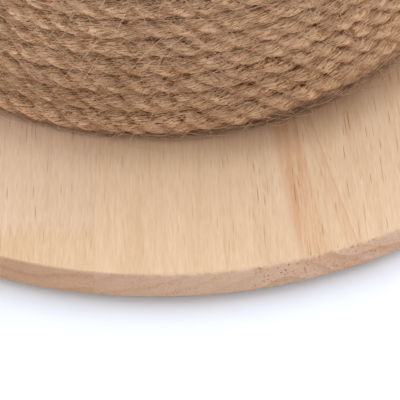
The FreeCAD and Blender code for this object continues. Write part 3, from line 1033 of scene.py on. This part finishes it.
class POST_OT_grow_fuzz(bpy.types.Operator):
    """Grow the loose fibres that stand off the rope, and the long strays that cross its rows"""

    bl_idname = "scratching_post.grow_fuzz"
    bl_label = "Grow Fuzz"

    def execute(self, context):
        rope, fuzz = context.scene.post_rope, context.scene.post_fuzz
        random = np.random.default_rng(fuzz.seed)
        hair = fibre_material()
        bare_share = 0.3
        foot_end = angle_of_rows(bare_share, rope)
        head_end = angle_of_rows(rope.rows + 1 - bare_share, rope)
        low_end = fuzz.low_rows * TURN
        low_rows, high_rows, first_row = (foot_end, low_end), (low_end, head_end), (foot_end, foot_end + TURN)
        low = FibreKind(fuzz.length, fuzz.lift, rings=4, crossing=0.75)
        high = FibreKind(1.2 * fuzz.length, fuzz.lift, rings=4, crossing=0.6)
        stray = FibreKind(
            fuzz.stray_length, 1.6 * fuzz.lift, rings=9, crossing=0.7, stoutness=1.2, darkest=0.7)
        hanging = FibreKind(fuzz.length, 3.0 * fuzz.lift, rings=5, crossing=1.0, droop=1, darkest=0.7)
        batches = [(f"fuzz_low_{letter}", fuzz.low_count // 3, low_rows, low) for letter in "abc"]
        batches += [(f"fuzz_high_{letter}", fuzz.high_count // 2, high_rows, high) for letter in "ab"]
        batches += [
            ("strays_low", fuzz.stray_count // 2, low_rows, stray),
            ("strays_high", fuzz.stray_count // 2, high_rows, stray),
            ("fringe", fuzz.fringe_count, first_row, hanging),
        ]
        for name, count, (start, end), kind in batches:
            paths = fuzz_paths(random, rope, fuzz, count, start, end, kind)
            radii = fuzz.radius * kind.stoutness * random.uniform(0.6, 1.15, count)
            tones = random.uniform(kind.darkest, 1.0, count)
            dress(fibre_tubes(name, paths, radii, tones), hair, "jute")
        return {"FINISHED"}


class POST_OT_shed_fibres(bpy.types.Operator):
    """Lay shed fibres on the foot board, close to the rope"""

    bl_idname = "scratching_post.shed_fibres"
    bl_label = "Shed Fibres"

    def execute(self, context):
        rope, fuzz = context.scene.post_rope, context.scene.post_fuzz
        random = np.random.default_rng(fuzz.seed + 1)
        count, rings = fuzz.board_count, 9
        scatter, usual_length, thickness, arch = 1.5 * MM, 9 * MM, 0.06 * MM, 0.25 * MM
        foot_radius = rope.tube_radius + 2 * rope_thickness(rope)
        angle = random.uniform(0, TURN, count)
        radius = foot_radius + scatter * np.abs(random.normal(0.0, 1.0, count))
        reach = usual_length * np.exp(random.normal(0.0, 0.5, count))
        slant = random.uniform(-0.7, 1.2, count)
        bow = random.normal(0.0, 0.25, count)
        step = np.linspace(0.0, 1.0, rings)[None, :]
        along = (reach * np.cos(slant))[:, None] * step
        outward = np.abs((reach * np.sin(slant))[:, None] * step) + (bow * reach)[:, None] * (step**2 - step)
        spoke = np.maximum(radius[:, None] + outward, foot_radius - 1 * MM)
        height = rope.foot + 1.5 * thickness + arch * np.sin(np.pi * step)
        paths = round_post(spoke, angle[:, None] + along / spoke, height)
        tones = random.uniform(0.2, 0.9, count)
        piece = fibre_tubes("shed_fibres", paths, np.full(count, thickness), tones)
        dress(piece, bpy.data.materials["jute fibre"], "jute")
        return {"FINISHED"}


class POST_OT_finish_boards(bpy.types.Operator):
    """Finish the foot board and the top board as sanded rubberwood"""

    bl_idname = "scratching_post.finish_boards"
    bl_label = "Finish Boards"

    def execute(self, context):
        wood, rope = context.scene.post_wood, context.scene.post_rope
        rubberwood_group()
        rope_reach = rope.tube_radius + 2 * rope_thickness(rope)
        no_rope = -TOP_HIGH.x
        foot = wood_material(
            "foot board rubberwood", wood.foot_seam, wood.joint_place, 0.0, BOARD_HIGH, rope_reach)
        top = wood_material(
            "top board rubberwood", wood.top_seam, -wood.joint_place / 3, 0.37, TOP_HIGH, no_rope)
        paint(foot, "base_board")
        paint(top, "top_board")
        return {"FINISHED"}


class POST_OT_finish_core(bpy.types.Operator):
    """Finish the card tube, the plugs, the pads and the fasteners"""

    bl_idname = "scratching_post.finish_core"
    bl_label = "Finish Core"

    def execute(self, context):
        paint(card_material(), "core_tube")
        paint(fibreboard_material(), "lower_plug", "upper_plug")
        paint(felt_material(), "floor_pads")
        paint(zinc_material(), "base_bolts", "base_washers", "tee_nuts", "lower_plug_screws",
              "upper_plug_screws", "top_board_screws", "rope_end_staples")
        return {"FINISHED"}


class POST_OT_set_stage(bpy.types.Operator):
    """Set the camera, the soft light and the white floor"""

    bl_idname = "scratching_post.set_stage"
    bl_label = "Set Stage"

    def execute(self, context):
        scene, stage = context.scene, context.scene.post_stage
        scene.view_settings.view_transform = "Standard"
        self.add_camera(scene, stage)
        self.add_light(scene, stage)
        half = stage.floor_size / 2
        corners = np.array([[-half, -half, 0], [half, -half, 0], [half, half, 0], [-half, half, 0]], float)
        floor = build_mesh("floor", corners, np.array([[0, 1, 2, 3]]), np.zeros((0, 3), int))
        floor.data.materials.append(floor_material())
        return {"FINISHED"}

    def add_camera(self, scene, stage):
        """Place the camera in front of the post, look past its foot, then roll."""
        data = bpy.data.cameras.new("camera")
        data.sensor_width = 36.0
        data.lens = stage.focal_length
        camera = bpy.data.objects.new("camera", data)
        scene.collection.objects.link(camera)
        scene.camera = camera
        down = stage.elevation + stage.dip
        level = Vector((math.sin(stage.pan), math.cos(stage.pan), 0.0))
        ahead = level * math.cos(down) - Vector((0.0, 0.0, math.sin(down)))
        right = Vector((math.cos(stage.pan), -math.sin(stage.pan), 0.0))
        up = right.cross(ahead)
        turned_right = math.cos(stage.roll) * right + math.sin(stage.roll) * up
        turned_up = math.cos(stage.roll) * up - math.sin(stage.roll) * right
        turn = Matrix((turned_right, turned_up, -ahead)).transposed()
        place = Vector((0.0, -math.cos(stage.elevation), math.sin(stage.elevation))) * stage.distance
        camera.matrix_world = Matrix.LocRotScale(place, turn, None)

    def add_light(self, scene, stage):
        """A soft white sky, dimmer on the camera's side, which the camera sees as plain white."""
        world = bpy.data.worlds.new("studio")
        scene.world = world
        world.use_nodes = True
        bench = NodeBench(world.node_tree)
        bench.tree.nodes.clear()
        brightest_way, dim_until, bright_from = (-0.08, 0.98, -0.19), -0.35, 0.0
        white = (1.0, 1.0, 1.0)
        direction = bench.wire("Generated", "ShaderNodeTexCoord")
        behind = bench.vector("DOT_PRODUCT", direction, brightest_way, output="Value")
        strength = bench.step(behind, dim_until, bright_from, stage.dim_sky, stage.bright_sky)
        sky = bench.wire(0, "ShaderNodeBackground", {"Color": white, "Strength": strength})
        plain = bench.wire(0, "ShaderNodeBackground", {"Color": white, "Strength": 1.0})
        mixed = bench.wire(0, "ShaderNodeMixShader", {0: seen_plainly(bench), 1: sky, 2: plain})
        bench.add("ShaderNodeOutputWorld", {"Surface": mixed})


class POST_PT_panel(bpy.types.Panel):
    """Buttons and settings of the scratching post"""

    bl_idname = "POST_PT_panel"
    bl_label = "Scratching Post"
    bl_space_type = "VIEW_3D"
    bl_region_type = "UI"
    bl_category = "Scratching Post"

    def draw(self, context):
        for operator in OPERATORS:
            self.layout.operator(operator.bl_idname)
        for name in SETTINGS:
            settings = getattr(context.scene, name)
            box = self.layout.box()
            for key in settings.bl_rna.properties.keys():
                if key not in ("rna_type", "name"):
                    box.prop(settings, key)


SETTINGS = {"post_rope": RopeSettings, "post_fuzz": FuzzSettings, "post_wood": WoodSettings,
            "post_stage": StageSettings}
OPERATORS = (POST_OT_wind_rope, POST_OT_grow_fuzz, POST_OT_shed_fibres, POST_OT_finish_boards,
             POST_OT_finish_core, POST_OT_set_stage)


def register():
    """Registers the settings, the operators and the panel."""
    for name, settings in SETTINGS.items():
        bpy.utils.register_class(settings)
        setattr(bpy.types.Scene, name, PointerProperty(type=settings))
    for operator in OPERATORS:
        bpy.utils.register_class(operator)
    bpy.utils.register_class(POST_PT_panel)


def unregister():
    """Removes what register added."""
    bpy.utils.unregister_class(POST_PT_panel)
    for operator in reversed(OPERATORS):
        bpy.utils.unregister_class(operator)
    for name, settings in reversed(SETTINGS.items()):
        delattr(bpy.types.Scene, name)
        bpy.utils.unregister_class(settings)


def main():
    """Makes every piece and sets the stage."""
    register()
    bpy.ops.scratching_post.wind_rope()
    bpy.ops.scratching_post.grow_fuzz()
    bpy.ops.scratching_post.shed_fibres()
    bpy.ops.scratching_post.finish_boards()
    bpy.ops.scratching_post.finish_core()
    bpy.ops.scratching_post.set_stage()


if __name__ == "__main__":
    main()
